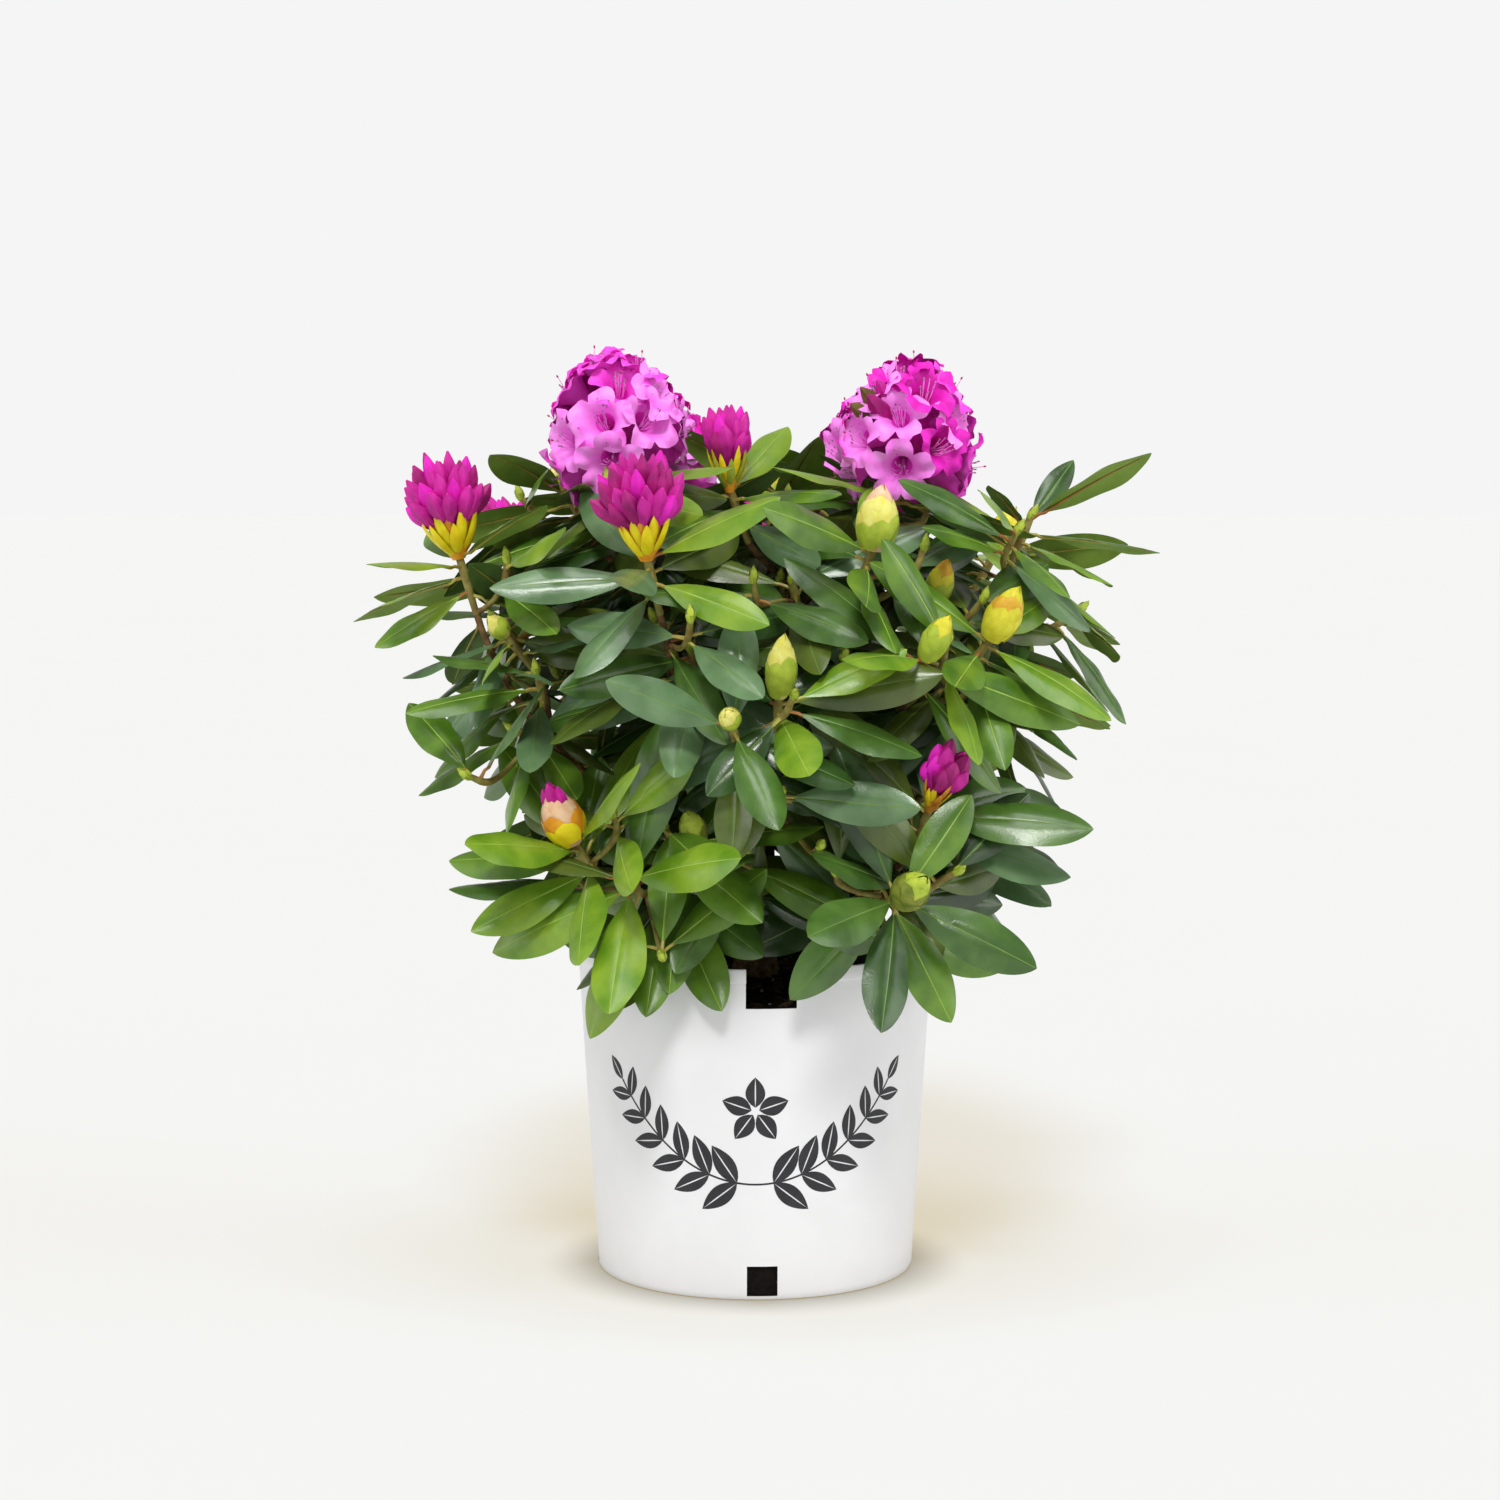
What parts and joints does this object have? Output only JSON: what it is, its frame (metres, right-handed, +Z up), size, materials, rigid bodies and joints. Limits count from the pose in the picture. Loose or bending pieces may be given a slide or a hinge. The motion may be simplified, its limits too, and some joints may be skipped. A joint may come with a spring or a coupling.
{
  "type": "potted rhododendron",
  "caption": "Bushy evergreen flowering shrub with whorled leaves, buds and round flower heads, growing in a round tapered nursery pot.",
  "frame": {"origin": "middle of the pot's flat underside, on the surface that it stands on", "axes": "+Z up along the pot's axis; -Y towards the front, where the notch in the rim and the best blooms face"},
  "size_m": [0.6211, 0.598, 0.7093],
  "materials": {
    "plastic": "satin white",
    "potting_mix": "rough, moist bark mix",
    "bark": "rough bark",
    "foliage": "leathery leaf",
    "blossom": "soft petal"
  },
  "bodies": {
    "root": {"bough_back": "bark", "bough_back_left": "bark", "bough_back_right": "bark", "bough_front_left": "bark", "bough_left": "bark", "bough_low_back_left": "bark", "bough_low_back_right": "bark", "bough_low_front_left": "bark", "bough_low_front_right": "bark", "bough_mid_front": "bark", "bough_mid_front_right": "bark", "bough_right": "bark", "bough_top_left": "bark", "bough_top_right": "bark", "bough_upper_front": "bark", "foliage_back": "foliage", "foliage_back_left": "foliage", "foliage_back_right": "foliage", "foliage_front_left": "foliage", "foliage_left": "foliage", "foliage_low_back_left": "foliage", "foliage_low_back_right": "foliage", "foliage_low_front_left": "foliage", "foliage_low_front_right": "foliage", "foliage_mid_front": "foliage", "foliage_mid_front_right": "foliage", "foliage_right": "foliage", "foliage_top_left": "foliage", "foliage_top_right": "foliage", "foliage_upper_front": "foliage", "pot": "plastic", "soil": "potting_mix", "trunk": "bark"}
  },
  "joints": []
}
